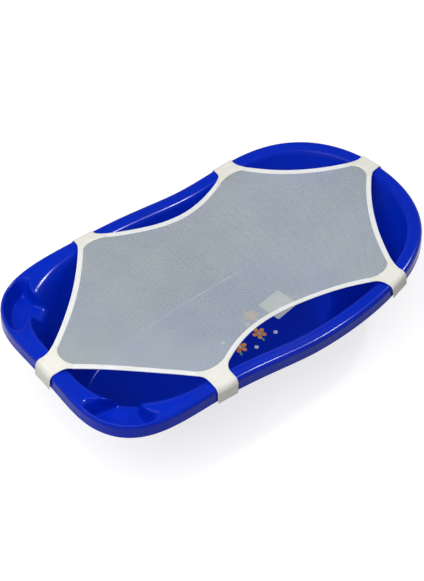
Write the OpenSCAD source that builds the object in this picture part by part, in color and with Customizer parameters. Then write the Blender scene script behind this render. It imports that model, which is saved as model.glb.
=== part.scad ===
// Baby bathtub with a six-point bath net stretched over its rim, in millimetres.
// +X points to the head end and +Z up. The origin is on the ground under the middle.

/* [Tub] */
// Length over the rim
tub_length = 840; // [800:5:880]
// Width over the rim
tub_width = 472; // [450:2:500]
// Height of the rim's crown at the tub's two ends
rim_height = 222; // [200:2:240]
// How much lower the rim is where its sides dip
side_dip = 31; // [0:1:36]
// How far the lowest place of the sides lies from the middle, towards the head
dip_shift = 70; // [50:5:90]
// How far the widest place lies from the middle, towards the head
waist_shift = 90; // [80:5:110]
// How much each side draws in towards the foot
foot_narrowing = 11; // [0:1:16]
// Thickness of the moulded wall
wall = 3; // [2:0.5:3.5]

/* [Rim] */
// Width of the rolled rim
rim_width = 28; // [26:1:32]
// Height of the skirt that hangs from the rim's outer edge
skirt_height = 28; // [24:1:34]
// Outward lean of the skirt at its lower edge
skirt_flare = 2; // [0:0.5:4]
// Radius of the rim's outer edge
outer_radius = 10; // [8:1:12]
// Radius of the rim's inner edge
inner_radius = 14; // [11:1:16]
// Rise of the rim's crown between its two edges
crown_rise = 0.5; // [0.2:0.1:1]

/* [Basin] */
// Distance of the floor's head end from the middle
floor_head = 250; // [230:5:270]
// Distance of the floor's foot end from the middle
floor_foot = 310; // [290:5:325]
// Width of the floor
floor_width = 220; // [190:5:240]
// Height of the ring that the tub stands on
foot_ring_height = 4; // [3:0.5:6]
// Width of that ring
foot_ring_width = 10; // [6:1:16]

/* [Soap dishes] */
// Depth of the land beside the dishes, below the rim's crown
land_drop = 5; // [3:1:8]
// Depth of the dishes, below the rim's crown
dish_depth = 36; // [30:1:40]
// Direction of a dish from the tub's middle, counted from the head
dish_angle = 157.2; // [155:0.2:158]
// Half the angle that a dish takes up at the rim
dish_spread = 7.6; // [6.6:0.2:8]
// Share by which the throat of a dish is drawn in
throat_draw = 0.8; // [0.6:0.05:0.85]

/* [Net] */
// How far the net's middle hangs below the rim
net_sag = 24; // [10:1:32]
// Thickness of the net
net_thick = 1.2; // [0.8:0.2:2]
// Width of a strand of the net
strand = 5; // [3:0.5:8]
// Gaps along the net
gaps_long = 22; // [14:1:24]
// Gaps across the net
gaps_wide = 9; // [6:1:12]
// Width of the tape that binds the net's edges
binding_width = 10; // [8:0.5:12]
// Thickness of the bound edge
binding_thick = 2.4; // [1.8:0.2:3]
// Depth of the scallop between the far clips
scallop_far = 36; // [25:1:45]
// Depth of the scallop between the near clips
scallop_near = 60; // [45:1:65]
// Depth of the scallop between the foot clip and the far one
scallop_foot_far = 12; // [5:1:22]
// Depth of the scallop between the foot clip and the near one
scallop_foot_near = 4; // [2:1:16]
// Depth of the scallop between the head clip and the far one
scallop_head_far = 21; // [8:1:26]
// Depth of the scallop between the head clip and the near one
scallop_head_near = 17; // [8:1:26]

/* [Clips] */
// Width of a tab
tab_width = 44; // [38:1:46]
// Thickness of the tab's fabric
tab_thick = 1.2; // [0.8:0.2:1.6]
// Width of a plastic hook
hook_width = 34; // [26:1:35]
// Thickness of a hook's plate
hook_thick = 1.6; // [1.2:0.2:2.4]
// Reach of a hook's lip under the skirt
lip_reach = 9; // [6:0.5:12]
// Thickness of a hook's lip
lip_thick = 2; // [1.6:0.2:3]
// Direction of the head clip from the tub's middle
head_clip = 5; // [0:0.5:10]
// Direction of the far clip at the head
far_head_clip = 53; // [50:0.5:58]
// Direction of the far clip at the foot
far_foot_clip = 128.5; // [124:0.5:132]
// Direction of the foot clip
foot_clip = 180.5; // [178:0.5:184]
// Direction of the near clip at the foot
near_foot_clip = 229.5; // [226:0.5:236]
// Direction of the near clip at the head
near_head_clip = 315; // [310:0.5:320]
// Distance of the net's corner at the head from the rim's outer edge
head_inset = 30; // [24:1:36]
// Distance of the far corner at the head
far_head_inset = 27; // [20:1:34]
// Distance of the far corner at the foot
far_foot_inset = 18; // [16:1:28]
// Distance of the corner at the foot
foot_inset = 26; // [20:1:34]
// Distance of the near corner at the foot
near_foot_inset = 33; // [26:1:40]
// Distance of the near corner at the head
near_head_inset = 24; // [18:1:32]

/* [Floor marks] */
// Size of one printed flower across its petals
flower_size = 30; // [20:1:40]
// Thickness of the print and the label
film = 0.4; // [0.2:0.1:0.8]
// Length of the blank label
label_length = 62; // [50:1:70]
// Width of the blank label
label_width = 55; // [40:1:60]

/* [Hidden] */
CLIPS = ["head", "far_head", "far_foot", "foot", "near_foot", "near_head"];

// Free space between fabric or hook and the rim, and between neighbouring soft pieces
clear = 0.4;
gap = 0.3;
half_length = tub_length / 2;
floor_z = foot_ring_height + wall;

// Each plan curve is two half superellipses that meet at the waist:
// head reach, foot reach, half width, drawing in, then the exponents along X and Y of head and foot.
head_form = [2.95, 2.1];
foot_form = [8, 3.6];
land_form = [4.6, 2.6];
floor_head_form = [2.6, 2];
floor_foot_form = [5, 2.6];
outline = concat(
    [half_length - waist_shift, half_length + waist_shift, tub_width / 2, foot_narrowing],
    head_form, foot_form
);
// The land cuts the basin's foot corners, and stays outside the rim's inner edge elsewhere
land_slack = 6;
basin_edge = concat(
    [outline[0], outline[1] - rim_width - land_slack / 3],
    [outline[2] - rim_width + land_slack, foot_narrowing],
    head_form, land_form
);
floor_edge = concat(
    [floor_head - waist_shift, floor_foot + waist_shift, floor_width / 2, foot_narrowing],
    floor_head_form, floor_foot_form
);

function mix(a, b, t) = a + (b - a) * t;
function unit(v) = v / norm(v);
function clamp(t) = min(1, max(0, t));
function smooth(t) = let(c = clamp(t)) c * c * (3 - 2 * c);
function soft_min(a, b, k) = let(h = max(k - abs(a - b), 0) / k) min(a, b) - h * h * k / 4;
function polar(a, r, z) = [r * cos(a), r * sin(a), z];
function below_crown(a, r, drop) = polar(a, r, crown_z(r * cos(a)) - drop);

// Where the sides begin to draw in, over what length they do, and half the length over which the rim dips
narrow_from = 20;
narrow_length = 240;
dip_length = 166;
// Over 1 outside a plan curve and under 1 inside it
function level(c, x, y) =
    let(
        ahead = x > waist_shift,
        lx = ahead ? (x - waist_shift) / c[0] : (waist_shift - x) / c[1],
        half = c[2] - c[3] * smooth((narrow_from - x) / narrow_length)
    )
    pow(lx, ahead ? c[4] : c[6]) + pow(abs(y) / half, ahead ? c[5] : c[7]);

// Distance from the middle to a plan curve, by halving
function reach(c, a, low = 0, high = tub_length, steps = 26) =
    let(mid = (low + high) / 2)
    steps == 0 ? mid
    : level(c, mid * cos(a), mid * sin(a)) > 1 ? reach(c, a, low, mid, steps - 1)
    : reach(c, a, mid, high, steps - 1);

// How much longer an inset is along the ray than square to the outline
function lean(a, d = 0.5) =
    let(turn = (reach(outline, a + d) - reach(outline, a - d)) / (reach(outline, a) * 2 * d * PI / 180))
    sqrt(1 + turn * turn);
function rim_reach(a, inset) = reach(outline, a) - inset * lean(a);
function crown_z(x) = rim_height - side_dip * exp(-pow((x - dip_shift) / dip_length, 2));

// The rim's section from the skirt's lower edge to the crown: inset from the outline, drop below the crown
edge_drop = outer_radius + crown_rise;
crown_inset = (outer_radius + rim_width - inner_radius) / 2;
inner_turn = 65;
skirt_bend = 0.4;
rim_section = concat(
    [[-skirt_flare, skirt_height], [-skirt_flare * skirt_bend, mix(edge_drop, skirt_height, skirt_bend)]],
    [for (t = [0:30:90]) [outer_radius * (1 - cos(t)), edge_drop - outer_radius * sin(t)]],
    [[crown_inset, 0]]
);
// From the crown inwards, as it is beside the basin
inner_steps = 3;
inner_section = [
    for (k = [0:inner_steps])
        let(t = inner_turn * k / inner_steps)
        [rim_width - inner_radius * (1 - sin(t)), crown_rise + inner_radius * (1 - cos(t))]
];
inner_edge = inner_section[inner_steps];

// The basin's wall falls straight from its edge and then turns into the floor: share inward, share down
wall_lean = 0.8;
wall_fall = 0.8;
floor_turn = 0.25;
function wall_curve(v) =
    let(a = 3 * v * (1 - v) * (1 - v) * wall_fall, b = 3 * v * v * (1 - v))
    [a * wall_lean + b * mix(wall_lean, 1, floor_turn) + v * v * v, a + b + v * v * v];
wall_start_slope = 3 * wall_fall;
wall_steps = [0.12, 0.28, 0.45, 0.6, 0.74, 0.87, 1];
basin_step = 5;
function basin_reach(a) =
    soft_min(rim_reach(a, inner_edge[0] + basin_step), reach(basin_edge, a), 4 * basin_step);

// The land is level with the rim where it is wide: share of that, and depth at which the basin's wall begins
land_turn = 22;
basin_drop = 15;
land_fall = 6;
function wide(a) =
    smooth((rim_reach(a, inner_edge[0]) - basin_reach(a) - 2 * basin_step) / land_turn);
function wall_drop(a) = mix(basin_drop, land_drop + land_fall, wide(a));

// The dishes: how far a ray is inside one, and how the rays close in on its throat
dish_side = 2;
draw_reach = 2;
function fold(a) = a > 180 ? 360 - a : a;
function in_dish(a) = clamp((dish_spread + dish_side / 2 - abs(fold(a) - dish_angle)) / dish_side);
function drawn(a, w) =
    let(d = fold(a) - dish_angle, s = d / (draw_reach * dish_spread))
    a - (a > 180 ? -1 : 1) * throat_draw * d * exp(-s * s) * smooth(w);
// Shares across the land, and shares of the dish's depth that are reached at the rim's inner steps
land_steps = [0.25, 0.5, 0.8];
dish_steps = [0, 0.45, 0.9, 1];

function wall_point(a, v) =
    let(
        b = mix(a, drawn(a, 1), (1 - v) * (1 - v)),
        start = wall_drop(b),
        top = crown_z(basin_reach(b) * cos(b)) - start,
        cut = in_dish(a) * (dish_depth - start) / (top - floor_z) / wall_start_slope,
        c = wall_curve(mix(cut, 1, v))
    )
    polar(b, mix(basin_reach(b), reach(floor_edge, b), c[0]), mix(top, floor_z, c[1]));
function land_point(a, share) =
    let(
        b = drawn(a, share),
        far = wall_point(a, 0),
        r = mix(rim_reach(b, inner_edge[0]), norm([far[0], far[1]]), share),
        land = mix(mix(inner_edge[1], basin_drop, share), land_drop, wide(b))
    )
    below_crown(b, r, mix(land, dish_depth, in_dish(a)));
function inner_point(a, k) =
    let(
        p = inner_section[k],
        level_with_rim = mix(crown_rise, land_drop, k / inner_steps),
        land = mix(p[1], level_with_rim, wide(a)),
        dish = mix(crown_rise, dish_depth, dish_steps[k])
    )
    below_crown(a, rim_reach(a, p[0]), mix(land, dish, in_dish(a)));

// Rays round the tub, closer together at the dishes' sides: the second list counts in dish spreads
ray_step = 6;
dish_rays = [-2, -1.55, -1.14, -0.86, -0.57, -0.28, 0, 0.28, 0.57, 0.86, 1.14, 1.55, 2, 2.45];
half_rays = concat(
    [for (a = [0:ray_step:dish_angle - 3 * ray_step]) a],
    [for (d = dish_rays) dish_angle + d * dish_spread],
    [180]
);
half_count = len(half_rays);
RAYS = concat(half_rays, [for (i = [half_count - 2:-1:1]) 360 - half_rays[i]]);
ray_count = len(RAYS);

// The moulded skin seen from above, from the skirt inwards, and the same skin one wall below it
function top_skin() = concat(
    [for (p = rim_section) [for (a = RAYS) below_crown(a, rim_reach(a, p[0]), p[1])]],
    [for (k = [0:inner_steps]) [for (a = RAYS) inner_point(a, k)]],
    [for (s = land_steps) [for (a = RAYS) land_point(a, s)]],
    [for (v = concat([0], wall_steps)) [for (a = RAYS) wall_point(a, v)]]
);
function skin_normal(skin, k, i) =
    let(
        round = skin[k][(i + 1) % ray_count] - skin[k][(i + ray_count - 1) % ray_count],
        inward = skin[min(k + 1, len(skin) - 1)][i] - skin[max(k - 1, 0)][i]
    )
    unit(cross(round, inward));
function under_skin(skin, k) = [for (i = [0:ray_count - 1]) skin[k][i] - wall * skin_normal(skin, k, i)];
function floor_ring(share, z) = [for (a = RAYS) polar(a, reach(floor_edge, a) * share, z)];
function base_ring(inset, z) = [for (a = RAYS) polar(a, reach(floor_edge, a) - inset, z)];
base_inset = 2 * wall;
base_draft = 4;
floor_middle = 0.6;

// Closes a stack of rings into triangles, with a fan on the first and the last ring
function ring_faces(count, n) = concat(
    [for (i = [0:n - 1]) [count * n, (i + 1) % n, i]],
    [
        for (k = [0:count - 2], i = [0:n - 1], half = [0, 1])
            let(a = k * n + i, b = k * n + (i + 1) % n)
            half == 0 ? [a, b, b + n] : [a, b + n, a + n]
    ],
    [for (i = [0:n - 1]) [count * n + 1, (count - 1) * n + i, (count - 1) * n + (i + 1) % n]]
);

module tub_shell() {
    skin = top_skin();
    last = len(skin) - 1;
    rings = concat(
        [floor_ring(floor_middle, floor_z)],
        [for (k = [last:-1:0]) skin[k]],
        [for (k = [0:last - 1]) under_skin(skin, k)],
        [
            base_ring(base_inset - base_draft, foot_ring_height),
            base_ring(base_inset, 0),
            base_ring(base_inset + foot_ring_width, 0),
            base_ring(base_inset + foot_ring_width + base_draft, foot_ring_height)
        ]
    );
    points = [for (r = rings, p = r) p];
    color([0.02, 0.16, 0.72])
        polyhedron(
            concat(points, [[0, 0, floor_z], [0, 0, foot_ring_height]]),
            ring_faces(len(rings), ray_count)
        );
}

// Each clip: its direction, and the inset of the net's corner from the rim's outer edge
CLIP_PLACES = [
    [head_clip, head_inset], [far_head_clip, far_head_inset], [far_foot_clip, far_foot_inset],
    [foot_clip, foot_inset], [near_foot_clip, near_foot_inset], [near_head_clip, near_head_inset]
];
clip_count = len(CLIP_PLACES);

// A clip's own frame: outward, along the rim, up, and its place on the outline at the crown's height
function on_outline(a) = below_crown(a, reach(outline, a), 0);
function clip_along(a) = unit(on_outline(a + 0.5) - on_outline(a - 0.5));
function clip_out(a) = let(t = clip_along(a)) unit([t[1], -t[0], 0]);
function clip_up(a) = cross(clip_out(a), clip_along(a));
function in_clip(a, p) = on_outline(a) + p[0] * clip_out(a) + p[1] * clip_along(a) + p[2] * clip_up(a);
module at_clip(k) {
    a = CLIP_PLACES[k][0];
    x = clip_out(a);
    y = clip_along(a);
    z = clip_up(a);
    o = on_outline(a);
    multmatrix([
        [x[0], y[0], z[0], o[0]],
        [x[1], y[1], z[1], o[1]],
        [x[2], y[2], z[2], o[2]],
        [0, 0, 0, 1]
    ])
        children();
}
module along_rim(width) {
    rotate([90, 0, 0])
        linear_extrude(width, center = true)
            children();
}

// The net's edge lies over the rim's crown, and the net hangs in the basin
edge_lift = 0.6;
net_lift = binding_thick / 2 + clear + edge_lift;
rim_share = 0.84;
function net_z(x, y) =
    let(
        share = norm([x, y]) / max(1, reach(outline, atan2(y, x))),
        dip = smooth((rim_share - share) / rim_share)
    )
    crown_z(x) + net_lift - net_sag * dip;

// The scallop that leaves clip k and ends at the next clip, and its band towards the net's middle
SCALLOPS = [
    scallop_head_far, scallop_far, scallop_foot_far,
    scallop_foot_near, scallop_near, scallop_head_near
];
function net_corner(k, side) =
    let(c = CLIP_PLACES[k % clip_count])
    in_clip(c[0], [-c[1] - gap, side * tab_width / 2, 0]);
function flat(p) = [p[0], p[1]];
function scallop(k, t) =
    let(
        a = flat(net_corner(k, 1)),
        b = flat(net_corner(k + 1, -1)),
        d = unit(b - a),
        m = (a + b) / 2 + 2 * SCALLOPS[k] * [-d[1], d[0]]
    )
    mix(mix(a, m, t), mix(m, b, t), t);
function scallop_inside(k, t, inset) =
    let(d = unit(scallop(k, t + 0.01) - scallop(k, t - 0.01)))
    scallop(k, t) + inset * [-d[1], d[0]];
scallop_steps = 14;

module binding(k) {
    rings = [
        for (i = [0:scallop_steps])
            let(
                t = i / scallop_steps,
                p = scallop_inside(k, t, 0),
                q = scallop_inside(k, t, binding_width),
                zp = net_z(p[0], p[1]),
                zq = net_z(q[0], q[1]),
                h = binding_thick / 2
            )
            [[p[0], p[1], zp - h], [p[0], p[1], zp + h], [q[0], q[1], zq + h], [q[0], q[1], zq - h]]
    ];
    last = 4 * scallop_steps;
    sides = [
        for (i = [0:scallop_steps - 1], j = [0:3], half = [0, 1])
            let(a = 4 * i + j, b = 4 * i + (j + 1) % 4)
            half == 0 ? [a, b, b + 4] : [a, b + 4, a + 4]
    ];
    ends = [[0, 3, 2], [0, 2, 1], [last, last + 1, last + 2], [last, last + 2, last + 3]];
    color("white")
        polyhedron([for (r = rings, p = r) p], concat(sides, ends));
}

// The net's far and near edges, each walked by its own length. The strands stay clear of the curved tape
chord_slack = 0.8;
edge_inset = binding_width + gap + chord_slack;
function edge_line(list) = [
    for (k = list, i = [0:scallop_steps])
        scallop_inside(k, i / scallop_steps, edge_inset)
];
function travelled(line) = [
    for (i = 0, s = 0; i < len(line); i = i + 1, s = s + (i < len(line) ? norm(line[i] - line[i - 1]) : 0))
        s
];
function edge_point(line, way, share) =
    let(s = share * way[len(way) - 1])
    [for (axis = [0, 1]) lookup(s, [for (i = [0:len(line) - 1]) [way[i], line[i][axis]]])];
far_edge = edge_line([0, 1, 2]);
near_edge = edge_line([3, 4, 5]);
far_way = travelled(far_edge);
near_way = travelled(near_edge);
far_points = [for (i = [0:gaps_long]) edge_point(far_edge, far_way, 1 - i / gaps_long)];
near_points = [for (i = [0:gaps_long]) edge_point(near_edge, near_way, i / gaps_long)];
function net_flat(i, j) = mix(near_points[i], far_points[i], j / gaps_wide);
function net_point(p, side) = [p[0], p[1], net_z(p[0], p[1]) + side * net_thick / 2];
// A gap's corner drawn in from the cell's corner by half a strand, or less where the cell is slim
slim_share = 0.3;
function strand_step(v) = unit(v) * min(strand / 2, slim_share * norm(v));
function drawn_in(p, along, across) = p + strand_step(along) + strand_step(across);
function cell_gap(i, j) =
    let(a = net_flat(i, j), b = net_flat(i + 1, j), c = net_flat(i + 1, j + 1), d = net_flat(i, j + 1))
    [
        drawn_in(a, b - a, d - a), drawn_in(b, a - b, c - b),
        drawn_in(c, d - c, b - c), drawn_in(d, c - d, a - d)
    ];

module net_mesh() {
    columns = gaps_long + 1;
    rows = gaps_wide + 1;
    joints = columns * rows;
    knots = [for (side = [1, -1], i = [0:gaps_long], j = [0:gaps_wide]) net_point(net_flat(i, j), side)];
    holes = [
        for (i = [0:gaps_long - 1], j = [0:gaps_wide - 1], side = [1, -1], p = cell_gap(i, j))
            net_point(p, side)
    ];
    cells = [
        for (i = [0:gaps_long - 1], j = [0:gaps_wide - 1])
            let(
                k = [i * rows + j, (i + 1) * rows + j, (i + 1) * rows + j + 1, i * rows + j + 1],
                h = 2 * joints + 8 * (i * gaps_wide + j)
            )
            for (s = [0:3])
                let(
                    e = (s + 1) % 4,
                    top = [k[s], k[e], h + e, h + s],
                    low = [k[s] + joints, k[e] + joints, h + 4 + e, h + 4 + s]
                )
                for (f = [
                    [top[2], top[1], top[0]], [top[3], top[2], top[0]],
                    [low[0], low[1], low[2]], [low[0], low[2], low[3]],
                    [top[3], low[3], low[2]], [top[3], low[2], top[2]]
                ])
                    f
    ];
    rim = concat(
        [for (i = [0:gaps_long]) i * rows],
        [for (j = [1:gaps_wide]) gaps_long * rows + j],
        [for (i = [gaps_long - 1:-1:0]) i * rows + gaps_wide],
        [for (j = [gaps_wide - 1:-1:1]) j]
    );
    border = [
        for (i = [0:len(rim) - 1], half = [0, 1])
            let(a = rim[i], b = rim[(i + 1) % len(rim)])
            half == 0 ? [a, b, b + joints] : [a, b + joints, a + joints]
    ];
    color([0.86, 0.9, 0.95])
        polyhedron(concat(knots, holes), concat(cells, border));
}

// A clip's section, outward and up from the outline at the crown
pivot = [clear + hook_thick + gap / 3 + tab_thick / 2, -edge_drop];
bead = 0.75 * tab_thick;
tab_end = 6;
lip_gap = 0.6;
lip_top = -skirt_height - lip_gap;
hinge_gap = 2;
hook_top = -edge_drop - hinge_gap;
function skirt_x(z) = skirt_flare * (-z - edge_drop) / (skirt_height - edge_drop);
// One face of the tab, from the net to the hinge: it leaves the rim gradually for the hook's plate
function tab_face(inset, lift) = concat(
    [[-inset, net_lift + lift - tab_thick / 2], [-crown_inset, clear + lift]],
    [
        for (t = [90, 60, 30, tab_end])
            let(r = outer_radius + mix(clear, pivot[0] - tab_thick / 2, (90 - t) / (90 - tab_end)) + lift)
            [r * cos(t) - outer_radius, r * sin(t) - edge_drop]
    ]
);

module tab(k) {
    inset = CLIP_PLACES[k][1];
    top = tab_face(inset, tab_thick);
    color("ivory")
        at_clip(k)
            along_rim(tab_width)
                polygon(concat(tab_face(inset, 0), [for (i = [len(top) - 1:-1:0]) top[i]]));
}

module flap(k) {
    low = lip_top - lip_thick;
    h = tab_thick / 2;
    foot_x = pivot[0] + skirt_x(low);
    color("ivory")
        at_clip(k)
            union() {
                along_rim(tab_width)
                    polygon([
                        [pivot[0] - h, pivot[1]], [pivot[0] + h, pivot[1]],
                        [foot_x + h, low], [foot_x - h, low]
                    ]);
                translate([pivot[0], 0, pivot[1]])
                    rotate([90, 0, 0])
                        cylinder(r = bead, h = tab_width, center = true, $fn = 32);
            }
}

module hook(k) {
    low = lip_top - lip_thick;
    color("whitesmoke")
        at_clip(k)
            along_rim(hook_width)
                polygon([
                    [skirt_x(hook_top) + clear, hook_top],
                    [skirt_x(hook_top) + clear + hook_thick, hook_top],
                    [skirt_x(low) + clear + hook_thick, low],
                    [skirt_flare - lip_reach, low],
                    [skirt_flare - lip_reach, lip_top],
                    [skirt_x(lip_top) + clear, lip_top]
                ]);
}

// Five round petals about a heart
module flower(size) {
    petal = size / 5;
    for (a = [0:72:359])
        rotate(a)
            translate([size / 2 - petal, 0])
                circle(r = petal, $fn = 32);
    circle(r = petal, $fn = 32);
}

FLOWERS = [[2, -46], [56, -42], [74, 6]];
DOTS = [[28, -66], [30, -24], [52, -10], [84, -60], [-18, -16]];
dot_radius = 4.5;
module floor_print() {
    color("darkorange")
        for (p = FLOWERS)
            translate([p[0], p[1], floor_z])
                linear_extrude(film)
                    flower(flower_size);
    color("white")
        for (p = DOTS)
            translate([p[0], p[1], floor_z])
                cylinder(r = dot_radius, h = film, $fn = 32);
}

label_place = [138, -7];
label_turn = 8;
module floor_label() {
    color("white")
        translate([label_place[0], label_place[1], floor_z])
            rotate(label_turn)
                linear_extrude(film)
                    square([label_length, label_width], center = true);
}

tub_shell();
floor_print();
floor_label();
net_mesh();
for (k = [0:clip_count - 1]) {
    binding(k);
    tab(k);
    flap(k);
    hook(k);
}
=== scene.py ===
"""Baby bathtub with a bath net hooked over its rim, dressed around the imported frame."""

import logging
import math
from dataclasses import dataclass
from enum import Enum
from functools import cached_property
from typing import Any, Mapping, Optional, Sequence, Union

import bpy
import numpy as np
from mathutils import Matrix, Vector


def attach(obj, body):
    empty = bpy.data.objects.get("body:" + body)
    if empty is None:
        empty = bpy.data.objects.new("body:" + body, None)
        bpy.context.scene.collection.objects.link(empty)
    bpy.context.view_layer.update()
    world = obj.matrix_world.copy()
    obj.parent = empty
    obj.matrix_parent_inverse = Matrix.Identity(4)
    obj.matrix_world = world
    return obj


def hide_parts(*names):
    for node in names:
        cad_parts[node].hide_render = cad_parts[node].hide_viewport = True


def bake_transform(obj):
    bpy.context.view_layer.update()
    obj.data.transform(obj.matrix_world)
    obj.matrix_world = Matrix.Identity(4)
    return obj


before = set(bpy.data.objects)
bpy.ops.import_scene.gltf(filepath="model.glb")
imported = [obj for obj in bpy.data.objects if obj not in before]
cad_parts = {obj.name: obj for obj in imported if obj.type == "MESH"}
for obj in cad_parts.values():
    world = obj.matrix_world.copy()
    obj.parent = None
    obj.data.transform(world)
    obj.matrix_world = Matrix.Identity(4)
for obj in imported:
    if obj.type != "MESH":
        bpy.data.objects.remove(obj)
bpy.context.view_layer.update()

LOG = logging.getLogger("bathtub")
MM = 0.001
BASE_BODY = "tub"
HEM_SHARE = 0.55  # of a cloth's thickness, at its cut edge
Colour = tuple[float, float, float]
Pair = tuple[float, float]
Array = np.ndarray
Faces = list[Sequence[int]]
Material = bpy.types.Material
Object = bpy.types.Object


class Clip(Enum):
    """The six places where the net hooks over the rim, counted round from the head."""

    HEAD = "head"
    FAR_HEAD = "far_head"
    FAR_FOOT = "far_foot"
    FOOT = "foot"
    NEAR_FOOT = "near_foot"
    NEAR_HEAD = "near_head"


CLIPS = tuple(Clip)


class Seam(Enum):
    """Where a cloth is stitched."""

    INNER_EDGE = "inner_edge"
    BOTH_EDGES = "both_edges"


# Small maths shared by the forms

def mix(a: Any, b: Any, t: Any) -> Any:
    """Goes from a to b as t goes from 0 to 1."""
    return a + (b - a) * t


def smooth(t: Any) -> Array:
    """Eases 0 to 1, and holds both ends."""
    c = np.clip(t, 0.0, 1.0)
    return c * c * (3.0 - 2.0 * c)


def unit(v: Array) -> Array:
    """Vectors of length 1 along the last axis."""
    return v / np.maximum(np.linalg.norm(v, axis=-1, keepdims=True), 1e-12)


def left_of(v: Array) -> Array:
    """Plan vectors turned a quarter turn to the left."""
    return np.stack([-v[..., 1], v[..., 0]], axis=-1)


def bowed(wave: Array, power: float) -> Array:
    """A sine or cosine made fuller or sharper, with its sign kept."""
    return np.sign(wave) * np.abs(wave) ** power


def round_turn(count: int) -> Array:
    """Angles of a full turn in radians."""
    return np.linspace(0, 2 * math.pi, count, endpoint=False)


def around(reach: Any, turn: Array, z: Any) -> Array:
    """Points by distance from the middle, direction in radians and height."""
    return np.stack(np.broadcast_arrays(reach * np.cos(turn), reach * np.sin(turn), z), axis=-1)


def bearing(points: Array) -> Array:
    """Directions of plan points, in degrees from the head."""
    return np.degrees(np.arctan2(points[..., 1], points[..., 0])) % 360


def eased(rows: Array, axis: int) -> Array:
    """Rows drawn towards their two neighbours."""
    return (np.roll(rows, 1, axis=axis) + 2 * rows + np.roll(rows, -1, axis=axis)) / 4


def cubic(a: Array, b: Array, c: Array, d: Array, t: Array) -> Array:
    """Curve from a to d that b and c pull at.

    Args:
        a: first point.
        b: pull near the first point.
        c: pull near the last point.
        d: last point.
        t: steps from 0 to 1.

    Returns:
        One point a step.
    """
    t = t[:, None]
    s = 1 - t
    return s ** 3 * a + 3 * s * s * t * b + 3 * s * t * t * c + t ** 3 * d


def inside_polygon(ring: Array, points: Array) -> Array:
    """Tells which plan points lie inside a closed ring.

    Args:
        ring: corner points, shape (n, 2).
        points: points to test, shape (m, 2).

    Returns:
        One truth value a point.
    """
    found = np.zeros(len(points), bool)
    x, y = points[:, 0], points[:, 1]
    for a, b in zip(ring, np.roll(ring, -1, axis=0)):
        if a[1] == b[1]:
            continue
        crosses = (a[1] > y) != (b[1] > y)
        found ^= crosses & (x < a[0] + (y - a[1]) * (b[0] - a[0]) / (b[1] - a[1]))
    return found


# Shader maths

Value = Union[float, Colour, "Sock"]


class Sock:
    """An output socket whose arithmetic adds Math nodes to its tree."""

    def __init__(self, bench: "NodeBench", socket: bpy.types.NodeSocket) -> None:
        """Wraps a socket of a bench's tree."""
        self.bench = bench
        self.socket = socket

    def __add__(self, other: Value) -> "Sock":
        """Sum."""
        return self.bench.maths("ADD", self, other)

    def __sub__(self, other: Value) -> "Sock":
        """Difference."""
        return self.bench.maths("SUBTRACT", self, other)

    def __rsub__(self, other: Value) -> "Sock":
        """Difference from a number."""
        return self.bench.maths("SUBTRACT", other, self)

    def __mul__(self, other: Value) -> "Sock":
        """Product."""
        return self.bench.maths("MULTIPLY", self, other)

    __radd__ = __add__
    __rmul__ = __mul__

    def sine(self) -> "Sock":
        """Sine of an angle in radians."""
        return self.bench.maths("SINE", self)

    def size(self) -> "Sock":
        """Value without its sign."""
        return self.bench.maths("ABSOLUTE", self)

    def at_most(self, other: Value) -> "Sock":
        """Smaller of two values."""
        return self.bench.maths("MINIMUM", self, other)

    def ramp(self, low: float, high: float) -> "Sock":
        """Smooth step from 0 at low to 1 at high."""
        made = self.bench.node(
            "ShaderNodeMapRange",
            {"interpolation_type": "SMOOTHSTEP"},
            {"Value": self, "From Min": low, "From Max": high},
        )
        return self.bench.out(made, "Result")


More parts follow.
